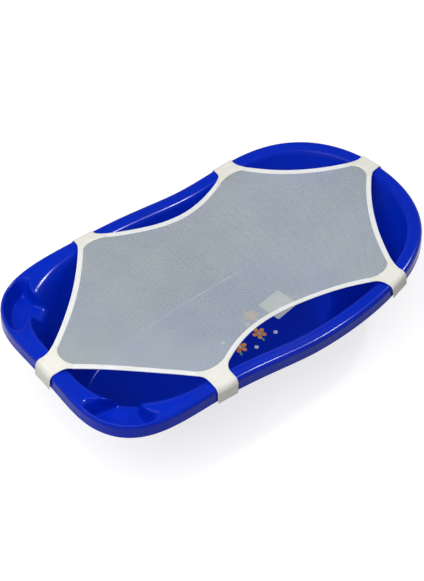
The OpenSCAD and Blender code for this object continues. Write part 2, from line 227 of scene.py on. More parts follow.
class NodeBench:
    """A node tree, and the one way to add nodes to it."""

    def __init__(self, owner: Union[Material, bpy.types.World]) -> None:
        """Empties the tree of a new material or world."""
        self.owner = owner
        owner.use_nodes = True
        self.tree = owner.node_tree
        self.tree.nodes.clear()

    @classmethod
    def finish_named(cls, name: str) -> "NodeBench":
        """Bench of a new material."""
        return cls(bpy.data.materials.new(name))

    def node(
        self,
        kind: str,
        settings: Optional[Mapping[str, Any]] = None,
        sockets: Optional[Mapping[Union[str, int], Any]] = None,
    ) -> bpy.types.Node:
        """Adds one node.

        Args:
            kind: the node's type.
            settings: properties to set before the sockets.
            sockets: input name or number to a value or a link.

        Returns:
            The new node.
        """
        made = self.tree.nodes.new(kind)
        for key, value in (settings or {}).items():
            setattr(made, key, value)
        for key, value in (sockets or {}).items():
            if isinstance(value, Sock):
                self.tree.links.new(value.socket, made.inputs[key])
            elif isinstance(value, tuple) and made.inputs[key].type == "RGBA":
                made.inputs[key].default_value = (*value, 1.0)
            else:
                made.inputs[key].default_value = value
        return made

    def out(self, node: bpy.types.Node, name: Union[str, int] = 0) -> Sock:
        """Output socket of a node."""
        return Sock(self, node.outputs[name])

    def maths(self, operation: str, *values: Value) -> Sock:
        """Math node on one or two values."""
        made = self.node("ShaderNodeMath", {"operation": operation}, dict(enumerate(values)))
        return self.out(made)

    def blend(self, share: Value, first: Value, second: Value) -> Sock:
        """Colour between two colours."""
        made = self.node("ShaderNodeMix", {"data_type": "RGBA"}, {0: share, 6: first, 7: second})
        return self.out(made, 2)

    def cloth_place(self) -> tuple[Sock, Sock]:
        """Place across and along a piece of cloth, in metres."""
        where = self.out(self.node("ShaderNodeTexCoord"), "UV")
        split = self.node("ShaderNodeSeparateXYZ", sockets={0: where})
        return self.out(split, 0), self.out(split, 1)

    def noise(self, scale: float, detail: float = 2.0) -> Sock:
        """Soft random value from 0 to 1, by the place in the part's own frame."""
        where = self.out(self.node("ShaderNodeTexCoord"), "Object")
        made = self.node(
            "ShaderNodeTexNoise", sockets={"Vector": where, "Scale": scale, "Detail": detail}
        )
        return self.out(made, 0)

    def bump(self, height: Sock, strength: float, depth: float) -> Sock:
        """Normal that a height gives, with its full depth in metres."""
        made = self.node(
            "ShaderNodeBump",
            sockets={"Height": height, "Strength": strength, "Distance": depth},
        )
        return self.out(made, "Normal")

    def surface(self, **sockets: Any) -> Material:
        """Ends the tree in one principled shader.

        Args:
            sockets: the shader's inputs, with underscores for spaces.

        Returns:
            The finished material.
        """
        named = {key.replace("_", " "): value for key, value in sockets.items()}
        shader = self.node("ShaderNodeBsdfPrincipled", sockets=named)
        return self.end(self.out(shader), "ShaderNodeOutputMaterial")

    def end(self, shader: Sock, kind: str) -> Any:
        """Sends a shader to the tree's output, and gives the tree's owner."""
        self.node(kind, sockets={"Surface": shader})
        return self.owner


# Finishes

@dataclass(frozen=True)
class Finish:
    """A surface in one colour that varies towards a second, with its lengths in metres."""

    name: str
    colour: Colour
    shade: Colour

    def paint(self, bench: NodeBench) -> Material:
        """Adds the finish's nodes to a bench.

        Args:
            bench: an empty node tree.

        Returns:
            The finished material.
        """
        raise NotImplementedError

    def material(self) -> Material:
        """New material of this finish."""
        return self.paint(NodeBench.finish_named(self.name))


@dataclass(frozen=True)
class MouldedPlastic(Finish):
    """Glossy moulded plastic with a little orange peel and rubbed places."""

    roughness: float = 0.17
    peel: float = 0.1
    shine: float = 0.1
    deepening: float = 0.88
    rubbing: float = 0.08
    rub_matt: float = 0.12
    cloud_matt: float = 0.05
    peel_depth: float = 0.0004

    def paint(self, bench: NodeBench) -> Material:
        """Adds the finish's nodes to a bench."""
        cloud = bench.noise(9.0, 3.0)
        rubbed = bench.noise(140.0, 4.0).ramp(0.56, 0.78) * bench.noise(16.0).ramp(0.45, 0.7)
        deep = tuple(self.deepening * c for c in self.colour)
        tint = bench.blend(cloud.ramp(0.3, 0.75), self.colour, deep)
        return bench.surface(
            Base_Color=bench.blend(rubbed * self.rubbing, tint, self.shade),
            Roughness=self.roughness + rubbed * self.rub_matt + cloud * self.cloud_matt,
            Normal=bench.bump(bench.noise(420.0, 1.0), self.peel, self.peel_depth),
            Specular_IOR_Level=self.shine,
        )


@dataclass(frozen=True)
class WovenCloth(Finish):
    """Plain woven cloth, with threads that cross at right angles and rows of stitches, and painted
    shade in the groove beside each stitch row.
    """

    seam: Seam
    seam_place: float
    pitch: float = 0.0007
    relief: float = 0.5
    depth: float = 0.0003
    stitch: float = 0.0036
    thread_edge: Pair = (0.0003, 0.0007)
    groove_edge: Pair = (0.0006, 0.0022)
    soiling: float = 0.5
    soil_matt: float = 0.12
    # share of painted shade laid into the groove beside each stitch row
    groove_painted_shade: float = 0.4
    heights: Colour = (0.6, 2.0, 2.5)
    roughness: float = 0.82
    sheen: float = 0.15

    def paint(self, bench: NodeBench) -> Material:
        """Adds the finish's nodes to a bench."""
        across, along = bench.cloth_place()
        turn = math.pi / self.pitch
        weave = (across * turn).sine().size() * (along * turn).sine().size()
        soil = bench.noise(60.0, 3.0)
        side = across.size() if self.seam is Seam.BOTH_EDGES else across
        off_row = (side - self.seam_place).size()
        dash = (along * (2 * math.pi / self.stitch)).sine().ramp(-0.5, 0.1)
        thread = (1 - off_row.ramp(*self.thread_edge)) * dash
        # mask of the groove beside each stitch row: it sinks the groove in the bump and places
        # painted shade in the colour
        sunk_groove_and_painted_shade = 1 - off_row.ramp(*self.groove_edge)
        tint = bench.blend(soil.ramp(0.35, 0.8) * self.soiling, self.colour, self.shade)
        cloth = bench.blend(weave.ramp(0.0, 0.35), self.shade, tint)
        # painted shade: the cloth's colour is darkened towards the shade colour along the stitch
        # groove
        sewn = bench.blend(sunk_groove_and_painted_shade * self.groove_painted_shade, cloth, self.shade)
        face, rough = bench.blend(thread, sewn, self.colour), self.roughness + soil * self.soil_matt
        fuzz, raised, lowered = self.heights
        height = weave + soil * fuzz + thread * raised - sunk_groove_and_painted_shade * lowered
        return bench.surface(
            Base_Color=face,
            Roughness=rough,
            Normal=bench.bump(height, self.relief, self.depth),
            Sheen_Weight=self.sheen,
        )


@dataclass(frozen=True)
class NetYarn(Finish):
    """Loose knitted yarn that lets light through between its loops."""

    loop: float = 0.0011
    lean: float = 0.6
    cover: float = 0.65
    fill: float = 0.5
    mean_loop: float = 0.4
    roughness: float = 0.7
    cloud_matt: float = 0.15
    relief: float = 0.4
    depth: float = 0.0003

    def paint(self, bench: NodeBench) -> Material:
        """Adds the finish's nodes to a bench."""
        across, along = bench.cloth_place()
        turn = math.pi / self.loop
        row = (along * turn).sine()
        loops = (across * turn + row * self.lean).sine().size() * row.size()
        cloud, least = bench.noise(12.0), self.cover - self.mean_loop * self.fill
        return bench.surface(
            Base_Color=bench.blend(cloud.ramp(0.3, 0.8), self.colour, self.shade),
            Roughness=self.roughness + cloud * self.cloud_matt,
            Alpha=(loops * self.fill + least).at_most(1.0),
            Normal=bench.bump(loops, self.relief, self.depth),
        )


@dataclass(frozen=True)
class PrintedFilm(Finish):
    """Thin printed film, a little uneven in its ink."""

    roughness: float = 0.4
    grain_matt: float = 0.1
    relief: float = 0.08
    depth: float = 0.0002

    def paint(self, bench: NodeBench) -> Material:
        """Adds the finish's nodes to a bench."""
        grain = bench.noise(900.0)
        cloud = bench.noise(45.0, 3.0)
        return bench.surface(
            Base_Color=bench.blend(cloud.ramp(0.35, 0.75), self.colour, self.shade),
            Roughness=self.roughness + grain * self.grain_matt,
            Normal=bench.bump(grain, self.relief, self.depth),
        )


@dataclass(frozen=True)
class StudioPaper(Finish):
    """White studio paper that stays white to the eye and still takes a shadow."""

    lift: float = 0.74

    def paint(self, bench: NodeBench) -> Material:
        """Adds the finish's nodes to a bench."""
        path = bench.node("ShaderNodeLightPath")
        seen = bench.out(path, "Is Camera Ray") + bench.out(path, "Is Glossy Ray")
        seen = (seen + bench.out(path, "Is Transmission Ray")).at_most(1.0)
        tint = bench.blend(bench.noise(3.0), self.colour, self.shade)
        paper = bench.node("ShaderNodeBsdfDiffuse", sockets={"Color": tint})
        glow = bench.node(
            "ShaderNodeEmission", sockets={"Color": (1.0, 1.0, 1.0), "Strength": seen * self.lift}
        )
        both = bench.node("ShaderNodeAddShader", sockets={0: bench.out(paper), 1: bench.out(glow)})
        return bench.end(bench.out(both), "ShaderNodeOutputMaterial")


BLUE_PLASTIC = MouldedPlastic("blue_plastic", (0.0006, 0.022, 0.5), (0.02, 0.06, 0.5))
HOOK_PLASTIC = MouldedPlastic("hook_plastic", (0.8, 0.8, 0.78), (0.7, 0.69, 0.66), 0.38, 0.2, 0.4)
STRAP_CLOTH = WovenCloth(
    "strap_cloth", (0.88, 0.87, 0.81), (0.76, 0.74, 0.66), Seam.BOTH_EDGES, 0.0185
)
TAPE_CLOTH = WovenCloth(
    "binding_tape", (0.88, 0.89, 0.88), (0.77, 0.78, 0.77), Seam.INNER_EDGE, 0.0031, 0.0006
)
NET_YARN = NetYarn("white_net", (0.59, 0.66, 0.6), (0.54, 0.61, 0.57))
ORANGE_INK = PrintedFilm("orange_ink", (0.8, 0.22, 0.02), (0.85, 0.36, 0.05))
GREEN_INK = PrintedFilm("green_ink", (0.05, 0.42, 0.12), (0.1, 0.5, 0.2))
WHITE_INK = PrintedFilm("white_ink", (0.75, 0.8, 0.82), (0.62, 0.7, 0.76))
LABEL_FILM = PrintedFilm("label_film", (0.78, 0.79, 0.76), (0.72, 0.74, 0.72), 0.3)
STUDIO_PAPER = StudioPaper("studio_paper", (0.46, 0.46, 0.46), (0.42, 0.42, 0.42))


# Mesh making

def add_object(name: str, data: Optional[bpy.types.ID]) -> Object:
    """New object in the scene."""
    obj = bpy.data.objects.new(name, data)
    bpy.context.scene.collection.objects.link(obj)
    return obj


@dataclass
class Piece:
    """A mesh in millimetres, before it becomes an object."""

    name: str
    points: Array
    faces: Faces
    uv: Optional[Array] = None
    flat_shaded: bool = False

    def make(self, finish: Material) -> Object:
        """Makes the object.

        Args:
            finish: the material it gets.

        Returns:
            The new object, linked to the scene.
        """
        mesh = bpy.data.meshes.new(self.name)
        mesh.from_pydata((np.asarray(self.points) * MM).tolist(), [], self.faces)
        if self.uv is not None:
            layer = mesh.uv_layers.new(name="Cloth")
            corners = np.empty(len(mesh.loops), np.int32)
            mesh.loops.foreach_get("vertex_index", corners)
            layer.data.foreach_set("uv", (self.uv * MM)[corners].astype(np.float32).ravel())
        mesh.validate()
        mesh.update()
        if not self.flat_shaded:
            mesh.shade_smooth()
        mesh.materials.append(finish)
        LOG.info("%s: %d faces", self.name, len(self.faces))
        return add_object(self.name, mesh)


def ring_strips(rings: int, count: int) -> Faces:
    """Quads between closed rings that follow each other.

    Args:
        rings: number of rings.
        count: points in a ring.

    Returns:
        Faces, by point number.
    """
    own = np.arange(rings * count).reshape(rings, count)
    side = np.roll(own, -1, axis=1)
    return np.stack([own[:-1], side[:-1], side[1:], own[1:]], axis=-1).reshape(-1, 4).tolist()


def closed_stack(rings: int, count: int) -> Faces:
    """Faces of a stack of rings with both its ends closed."""
    ends = range(count - 1, -1, -1), range((rings - 1) * count, rings * count)
    return ring_strips(rings, count) + [list(end) for end in ends]


def run_of(grid: Array, axis: int) -> Array:
    """Length travelled along one axis of a grid."""
    steps = np.linalg.norm(np.diff(grid, axis=axis), axis=2)
    return np.insert(np.cumsum(steps, axis=axis), 0, 0.0, axis=axis)


def cloth_shell(grid: Array, thick: float) -> tuple[Array, Faces, Array]:
    """Gives a grid of cloth two faces and a closed edge.

    Args:
        grid: middle surface, shape (rows, columns, 3).
        thick: the cloth's thickness.

    Returns:
        Points, faces, and the place of each point across and along the cloth.
    """
    rows, columns = grid.shape[:2]
    half = rows * columns
    normal = unit(np.cross(np.gradient(grid, axis=1), np.gradient(grid, axis=0)))
    edge = np.ones((rows, columns, 1))
    edge[[0, -1]] = edge[:, [0, -1]] = HEM_SHARE
    lift = normal * edge * thick / 2
    points = np.concatenate([(grid + lift).reshape(-1, 3), (grid - lift).reshape(-1, 3)])
    own = np.arange(half).reshape(rows, columns)
    a, b, d, e = own[:-1, :-1], own[:-1, 1:], own[1:, :-1], own[1:, 1:]
    pairs = np.stack([a, d, e, b, half + a, half + b, half + e, half + d], axis=-1)
    border = np.concatenate([own[0], own[1:, -1], own[-1, -2::-1], own[-2:0:-1, 0]])
    after = np.roll(border, -1)
    rim = np.stack([border, after, half + after, half + border], axis=-1)
    faces = np.concatenate([pairs.reshape(-1, 4), rim]).tolist()
    across = run_of(grid, 1)
    place = np.stack([across - across[:, -1:] / 2, run_of(grid, 0)], axis=-1).reshape(-1, 2)
    return points, faces, np.concatenate([place, place])


# The tub

@dataclass(frozen=True)
class PlanCurve:
    """Two half superellipses that meet at the waist, drawn in towards the foot."""

    head: float
    foot: float
    half: float
    draw: float
    head_form: Pair
    foot_form: Pair
    waist: float
    narrow_from: float = 20.0
    narrow_length: float = 240.0
    far: float = 840.0
    halvings: int = 34

    def level(self, x: Array, y: Array) -> Array:
        """Over 1 outside the curve and under 1 inside it.

        Args:
            x: places along the tub.
            y: places across it.

        Returns:
            One level a place.
        """
        ahead = x > self.waist
        run = np.where(ahead, (x - self.waist) / self.head, (self.waist - x) / self.foot)
        half = self.half - self.draw * smooth((self.narrow_from - x) / self.narrow_length)
        wide = np.abs(y) / half
        front = run ** self.head_form[0] + wide ** self.head_form[1]
        back = run ** self.foot_form[0] + wide ** self.foot_form[1]
        return np.where(ahead, front, back)

    def reach(self, angle: Array) -> Array:
        """Distance from the middle to the curve, by halving.

        Args:
            angle: directions in degrees from the head.

        Returns:
            One distance a direction.
        """
        turn = np.radians(angle)
        low, high = np.zeros_like(turn), np.full_like(turn, self.far)
        for _ in range(self.halvings):
            mid = (low + high) / 2
            out = self.level(mid * np.cos(turn), mid * np.sin(turn)) > 1
            low, high = np.where(out, low, mid), np.where(out, mid, high)
        return (low + high) / 2


@dataclass(frozen=True)
class ShellGrid:
    """How finely the shell is divided, and how much its corners are eased."""

    skirt: int = 9
    skirt_end: float = 0.08
    edge: int = 17
    top: int = 15
    land: int = 13
    wall: int = 40
    land_crowding: float = 1.2
    wall_crowding: float = 1.3
    rays: tuple[int, int, int] = (90, 84, 7)
    dish_reach: float = 2.3
    ease_reach: float = 2.0
    ease_rows: tuple[int, int] = (3, 14)
    ease_down: int = 5
    ease_round: int = 3


@dataclass(frozen=True)
class TubForm:
    """The tub's sizes in millimetres, and the surface that they give."""

    length: float = 840.0
    width: float = 472.0
    rim_height: float = 222.0
    side_dip: float = 31.0
    dip_shift: float = 70.0
    dip_length: float = 166.0
    waist: float = 90.0
    foot_narrowing: float = 11.0
    head_form: Pair = (2.95, 2.1)
    foot_form: Pair = (8, 3.6)
    basin_form: Pair = (4.6, 2.6)
    floor_forms: tuple[Pair, Pair] = ((2.6, 2), (5, 2.6))
    wall: float = 3.0
    rim_width: float = 28.0
    skirt_height: float = 28.0
    skirt_flare: float = 2.0
    flare_curve: float = 1.4
    skirt_round: float = 0.8
    crown_inset: float = 8.0
    edge_drop: float = 10.5
    floor_head: float = 250.0
    floor_foot: float = 310.0
    floor_width: float = 220.0
    foot_ring_height: float = 4.0
    foot_ring_width: float = 10.0
    base_draft: float = 4.0
    top_width: float = 21.0
    top_drop: float = 2.0
    edge_fall: float = 9.0
    edge_round: float = 12.0
    corner_span: Pair = (3.0, 46.0)
    corner_ease: float = 16.0
    corner_out: float = 4.5
    corner_dip: float = 4.0
    corner_inset: float = 5.0
    land_slack: float = 6.0
    basin_step: float = 4.0
    basin_soft: float = 20.0
    dish_depth: float = 36.0
    dish_angle: float = 157.2
    dish_spread: float = 7.6
    dish_side: float = 2.0
    dish_fall: float = 1.2
    throat_draw: float = 0.8
    draw_reach: float = 2.0
    throat_turn: float = 1.5
    wall_lean: float = 0.8
    wall_fall: float = 0.8
    floor_turn: float = 0.25
    grid: ShellGrid = ShellGrid()

    def curve(self, head: float, foot: float, half: float, *forms: Pair) -> PlanCurve:
        """Plan curve about this tub's waist."""
        return PlanCurve(head, foot, half, self.foot_narrowing, *forms, self.waist)

    @cached_property
    def floor_z(self) -> float:
        """Height of the floor's upper face."""
        return self.foot_ring_height + self.wall

    @cached_property
    def outline(self) -> PlanCurve:
        """Curve of the rim's outer edge."""
        head, foot = self.length / 2 - self.waist, self.length / 2 + self.waist
        return self.curve(head, foot, self.width / 2, self.head_form, self.foot_form)

    @cached_property
    def basin_edge(self) -> PlanCurve:
        """Curve that cuts the basin's foot corners."""
        edge, slack = self.outline, self.land_slack
        foot, wide = edge.foot - self.rim_width - slack / 3, edge.half - self.rim_width + slack
        return self.curve(edge.head, foot, wide, self.head_form, self.basin_form)

    @cached_property
    def floor_edge(self) -> PlanCurve:
        """Curve of the floor."""
        head, foot = self.floor_head - self.waist, self.floor_foot + self.waist
        return self.curve(head, foot, self.floor_width / 2, *self.floor_forms)

    def crown(self, x: Array) -> Array:
        """Height of the crown over a place along the tub."""
        dip = np.exp(-(((x - self.dip_shift) / self.dip_length) ** 2))
        return self.rim_height - self.side_dip * dip

    def corner(self, angle: Array) -> Array:
        """1 at the foot's corners, where the rim is fuller and sharper, and 0 elsewhere."""
        away, (low, high) = np.abs(angle - 180), self.corner_span
        return smooth((away - low) / self.corner_ease) * smooth((high - away) / self.corner_ease)

    def lean(self, angle: Array) -> Array:
        """How much longer an inset is along the ray than square to the outline.

        Args:
            angle: directions of the rays in degrees.

        Returns:
            One factor a ray.
        """
        step = 0.5
        change = self.outline.reach(angle + step) - self.outline.reach(angle - step)
        turn = change / (self.outline.reach(angle) * 2 * step * math.pi / 180)
        return np.sqrt(1 + turn * turn)

    def rim_reach(self, angle: Array, inset: Union[float, Array]) -> Array:
        """Distance from the middle to a line inside the rim's edge."""
        edge = self.outline.reach(angle) + self.corner_out * self.corner(angle)
        return edge - inset * self.lean(angle)

    def inset(self, points: Array) -> Array:
        """How far plan points lie inside the outline."""
        angle = bearing(points)
        reach = np.hypot(points[..., 0], points[..., 1])
        return (self.outline.reach(angle) - reach) / self.lean(angle)

    def rim_drop(self, inset: Array) -> Array:
        """Drop of the rim's surface below its crown.

        Args:
            inset: distances inside the outline.

        Returns:
            One drop a distance.
        """
        away = np.asarray(inset) - self.crown_inset
        outer = 1 - np.sqrt(1 - np.clip(-away / self.crown_inset, 0, 1) ** 2)
        inner = smooth(away / (self.top_width - self.crown_inset))
        return np.where(away < 0, self.edge_drop * outer, self.top_drop * inner)

    def below_crown(self, angle: Array, reach: Array, drop: Array) -> Array:
        """Points at a distance from the middle and a drop from the crown."""
        turn = np.radians(angle)
        dip = self.corner_dip * self.corner(angle)
        return around(reach, turn, self.crown(reach * np.cos(turn)) - dip - drop)

    def outer_section(self) -> list[tuple[float, float]]:
        """Rim's section from the skirt's lower edge to the crown.

        Returns:
            Pairs of inset from the outline and drop from the crown.
        """
        skirt = [
            (-self.skirt_flare * t ** self.flare_curve, mix(self.edge_drop, self.skirt_height, t))
            for t in np.linspace(1, self.grid.skirt_end, self.grid.skirt)
        ]
        arc = [
            (self.crown_inset * (1 - math.cos(t)), self.edge_drop * (1 - math.sin(t)))
            for t in np.radians(np.linspace(0, 90, self.grid.edge))
        ]
        return skirt + arc

    def basin_reach(self, angle: Array) -> Array:
        """Distance from the middle to the basin's upper edge.

        Args:
            angle: directions in degrees.

        Returns:
            One distance a direction.
        """
        a = self.rim_reach(angle, self.rim_width + self.basin_step)
        b, soft = self.basin_edge.reach(angle), self.basin_soft
        near = np.maximum(soft - np.abs(a - b), 0) / soft
        return np.minimum(a, b) - near * near * soft / 4

    def from_dish(self, angle: Array) -> Array:
        """Angle from the nearer dish's middle, counted from the head."""
        return np.where(angle > 180, 360 - angle, angle) - self.dish_angle

    def in_dish(self, angle: Array) -> Array:
        """1 inside a dish, 0 outside it, with a side between."""
        edge = self.dish_spread + self.dish_side / 2
        return smooth((edge - np.abs(self.from_dish(angle))) / self.dish_side)

    def drawn(self, angle: Array, share: float) -> Array:
        """Rays closed in on a dish's throat."""
        away, side = self.from_dish(angle), np.where(angle > 180, -1, 1)
        near = np.exp(-((away / (self.draw_reach * self.dish_spread)) ** 2)) * smooth(share)
        return angle - side * (self.throat_draw * away - self.throat_turn) * near

    def wall_ring(self, angle: Array, v: float) -> Array:
        """Ring of the basin's wall, from its edge at 0 to the floor at 1.

        Args:
            angle: directions in degrees.
            v: step along the wall.

        Returns:
            One point a direction.
        """
        ray = mix(angle, self.drawn(angle, 1.0), (1 - v) ** 2)
        edge, turn = self.basin_reach(ray), np.radians(ray)
        start = self.top_drop + self.edge_fall
        top = self.crown(edge * np.cos(turn)) - start - self.corner_dip * self.corner(ray)
        cut = (self.dish_depth - start) / (top - self.floor_z) / (3 * self.wall_fall)
        w = mix(self.in_dish(angle) * cut, 1, v)
        a, b = 3 * w * (1 - w) ** 2 * self.wall_fall, 3 * w * w * (1 - w)
        inward = a * self.wall_lean + b * mix(self.wall_lean, 1, self.floor_turn) + w ** 3
        reach = mix(edge, self.floor_edge.reach(ray), inward)
        z = mix(top, self.floor_z, a + b + w ** 3)
        return around(reach, turn, z)

    def land_ring(self, angle: Array, share: float) -> Array:
        """Ring of the land between the rim and the basin, which is rounded at the basin's edge.

        Args:
            angle: directions in degrees.
            share: step from the rim at 0 to the basin at 1.

        Returns:
            One point a direction.
        """
        ray = self.drawn(angle, share)
        far = np.hypot(*self.wall_ring(angle, 0.0)[:, :2].T)
        near = self.rim_reach(ray, self.top_width)
        room = np.maximum(near - far, 1.0)
        round_share = np.minimum(self.edge_round / room, 1.0)
        turned = np.clip(1 - (1 - share) / round_share, 0, 1)
        land = self.top_drop + self.edge_fall * (1 - np.sqrt(1 - turned ** 2))
        drop = mix(land, self.dish_depth, self.in_dish(angle))
        return self.below_crown(ray, mix(near, far, share), drop)

    def inner_ring(self, angle: Array, share: float) -> Array:
        """Ring of the rim's inner side, which is also the outer side of land and dishes.

        Args:
            angle: directions in degrees.
            share: step from the crown at 0 to the land at 1.

        Returns:
            One point a direction.
        """
        inset = mix(self.crown_inset, self.top_width, share)
        top = self.top_drop * smooth(share)
        dish = self.dish_depth * smooth(self.dish_fall * share)
        dished = self.in_dish(angle)
        outward = (self.crown_inset - self.corner_inset) * self.corner(angle) * (1 - share)
        reach = self.rim_reach(angle, inset - outward)
        return self.below_crown(angle, reach, mix(top, dish, dished))

    def rays(self) -> Array:
        """Directions of the mesh's rays, closer together at the dishes.

        Returns:
            Angles of a full turn in degrees.
        """
        near = self.grid.dish_reach * self.dish_spread
        low, high = self.dish_angle - near, self.dish_angle + near
        head, dish, foot = self.grid.rays
        half = np.concatenate([
            np.linspace(0, low, head, endpoint=False),
            np.linspace(low, high, dish, endpoint=False),
            np.linspace(high, 180, foot),
        ])
        return np.concatenate([half, 360 - half[-2:0:-1]])

    def skin(self, angle: Array) -> Array:
        """Upper surface from the skirt's lower edge to the floor.

        Args:
            angle: directions of the rays in degrees.

        Returns:
            Points, shape (rings, rays, 3).
        """
        grid = self.grid
        sharp = mix(1, self.corner_inset / self.crown_inset, self.corner(angle))
        outer = [
            self.below_crown(angle, self.rim_reach(angle, inset * sharp), drop)
            for inset, drop in self.outer_section()
        ]
        top = [self.inner_ring(angle, t) for t in np.linspace(0, 1, grid.top)[1:]]
        land_steps = np.linspace(0, 1, grid.land)[1:-1] ** grid.land_crowding
        land = [self.land_ring(angle, t) for t in land_steps]
        wall_steps = np.linspace(0, 1, grid.wall) ** grid.wall_crowding
        wall = [self.wall_ring(angle, t) for t in wall_steps]
        skin = np.array(outer + top + land + wall)
        first = len(outer) + grid.ease_rows[0]
        last = len(outer + top + land) + grid.ease_rows[1]
        for _ in range(grid.ease_down):
            skin[first:last] = eased(skin, 0)[first:last]
        near = np.abs(self.from_dish(angle)) < grid.ease_reach * self.dish_spread
        for _ in range(grid.ease_round):
            turned = eased(skin, 1)
            turned[:first] = skin[:first]
            skin = np.where(near[None, :, None], turned, skin)
        return skin


@dataclass
class TubShell:
    """The moulded tub, as one closed shell."""

    form: TubForm
    body: str = BASE_BODY
    floor_shares: tuple[float, ...] = (0.05, 0.35, 0.7, 0.93)
    base_shares: tuple[float, ...] = (0.4, 0.05)
    ring_soft: float = 0.6

    def rings(self) -> Array:
        """Closed stack of rings, from the floor's upper face round the rim to its underside.

        Returns:
            Points, shape (rings, rays, 3).
        """
        form = self.form
        angle = form.rays()
        skin = form.skin(angle)
        round_way = np.roll(skin, -1, axis=1) - np.roll(skin, 1, axis=1)
        normal = unit(np.cross(round_way, np.gradient(skin, axis=0)))
        under = skin - form.wall * normal
        hem = (skin[0] + under[0]) / 2
        for edge in (skin[0], under[0]):
            edge[:, 2] += form.skirt_round
        reach, turn = form.floor_edge.reach(angle), np.radians(angle)
        floor = [around(reach * share, turn, form.floor_z) for share in self.floor_shares]
        top, soft, draft = form.foot_ring_height, self.ring_soft, form.base_draft
        outer = reach - 2 * form.wall
        inner = outer - form.foot_ring_width
        steps = [
            (outer + draft, top), (outer + soft, soft), (outer, 0.0),
            (inner, 0.0), (inner - soft, soft), (inner - draft, top),
        ]
        steps += [(reach * share, top) for share in self.base_shares]
        foot = [around(distance, turn, z) for distance, z in steps]
        return np.array(floor + list(skin[::-1]) + [hem] + list(under[:-1:2]) + foot)

    def build(self) -> Object:
        """Makes the shell and puts it in place of its solid.

        Returns:
            The shell's object.
        """
        rings = self.rings()
        faces = [face[::-1] for face in closed_stack(*rings.shape[:2])]
        obj = Piece("moulded_shell", rings.reshape(-1, 3), faces).make(BLUE_PLASTIC.material())
        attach(obj, self.body)
        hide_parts("tub_shell")
        return obj


# The net and its clips

@dataclass(frozen=True)
class ClipPlace:
    """One clip's own frame on the rim: outward, along the rim and up."""

    angle: float
    inset: float
    form: TubForm

    def on_outline(self, angle: float) -> Array:
        """Point of the outline at the crown's height."""
        ray = np.array([angle])
        return self.form.below_crown(ray, self.form.outline.reach(ray), 0.0)[0]

    @cached_property
    def origin(self) -> Array:
        """Clip's place on the outline."""
        return self.on_outline(self.angle)

    @cached_property
    def along(self) -> Array:
        """Direction along the rim."""
        step = 0.5
        return unit(self.on_outline(self.angle + step) - self.on_outline(self.angle - step))

    @cached_property
    def out(self) -> Array:
        """Direction away from the tub."""
        return unit(np.array([self.along[1], -self.along[0], 0.0]))

    @cached_property
    def up(self) -> Array:
        """Direction square to both."""
        return np.cross(self.out, self.along)

    def point(self, out: Any, along: Any, up: Any) -> Array:
        """Points from their places in the clip's frame."""
        out, along, up = (np.asarray(v, float)[..., None] for v in (out, along, up))
        return self.origin + out * self.out + along * self.along + up * self.up

    def rim_rise(self, plan: Array) -> Array:
        """Height of the sloping line along the rim over plan points."""
        flat = self.along[:2] / float(self.along[:2] @ self.along[:2])
        return self.origin[2] + (plan - self.origin[:2]) @ flat * self.along[2]


@dataclass(frozen=True)
class NetForm:
    """The net's cut and its hang, in millimetres."""

    form: TubForm
    sag: float = 24.0
    edge_lift: float = 2.2
    rim_share: float = 0.84
    tab_width: float = 44.0
    tape_width: float = 10.0
    gap: float = 0.3
    crease: float = 1.1
    crease_count: int = 9
    crease_start: Pair = (18.0, 50.0)
    crease_reach: float = 70.0
    corner_angles: tuple[float, ...] = (5, 53, 128.5, 180.5, 229.5, 315)
    corner_insets: tuple[float, ...] = (30, 27, 18, 26, 33, 24)
    scallops: tuple[float, ...] = (21, 36, 12, 4, 60, 17)

    @cached_property
    def places(self) -> list[ClipPlace]:
        """Frames of the clips, counted round."""
        pairs = zip(self.corner_angles, self.corner_insets)
        return [ClipPlace(angle, inset, self.form) for angle, inset in pairs]

    def corner(self, k: int, side: int) -> Array:
        """Plan point where a tape meets a tab."""
        place = self.places[k % len(CLIPS)]
        return place.point(-place.inset - self.gap, side * self.tab_width / 2, 0.0)[:2]

    def scallop(self, k: int, t: Array) -> Array:
        """Plan points of the tape's outer edge from clip k to the next.

        Args:
            k: number of the clip.
            t: steps from 0 to 1.

        Returns:
            One plan point a step.
        """
        a, b = self.corner(k, 1), self.corner(k + 1, -1)
        middle = (a + b) / 2 + 2 * self.scallops[k] * left_of(unit(b - a))
        t = np.asarray(t, float)[..., None]
        return mix(mix(a, middle, t), mix(middle, b, t), t)

    def inside(self, k: int, t: Array, inset: float) -> Array:
        """Plan points of a line inside the tape's outer edge."""
        t, step = np.asarray(t, float), 0.01
        way = unit(self.scallop(k, t + step) - self.scallop(k, t - step))
        return self.scallop(k, t) + inset * left_of(way)

    def height(self, points: Array) -> Array:
        """Height of the net over plan points.

        Args:
            points: plan points, shape (..., 2).

        Returns:
            One height a point.
        """
        x, y = points[..., 0], points[..., 1]
        reach = self.form.outline.reach(bearing(points))
        dip = smooth((self.rim_share - np.hypot(x, y) / reach) / self.rim_share)
        return self.form.crown(x) + self.edge_lift - self.sag * dip + self.pull(points)

    def pull(self, points: Array) -> Array:
        """Soft ridges that run into the net from its corners.

        Args:
            points: plan points, shape (..., 2).

        Returns:
            One rise or fall a point.
        """
        lift = np.zeros(points.shape[:-1])
        start, ease = self.crease_start
        for k in range(len(CLIPS)):
            away = points - (self.corner(k, -1) + self.corner(k, 1)) / 2
            distance = np.linalg.norm(away, axis=-1)
            turn = np.arctan2(away[..., 1], away[..., 0])
            fade = smooth((distance - start) / ease) * np.exp(-distance / self.crease_reach)
            lift += self.crease * np.sin(self.crease_count * turn + k) * fade
        return lift

    def lifted(self, points: Array) -> Array:
        """Plan points raised to the net's height."""
        return np.concatenate([points, self.height(points)[..., None]], axis=-1)

    def ring(self, inset: float, steps: int = 30) -> Array:
        """Closed plan line inside the whole edge."""
        t = np.linspace(0, 1, steps)
        return np.concatenate([self.inside(k, t, inset) for k in range(len(CLIPS))])


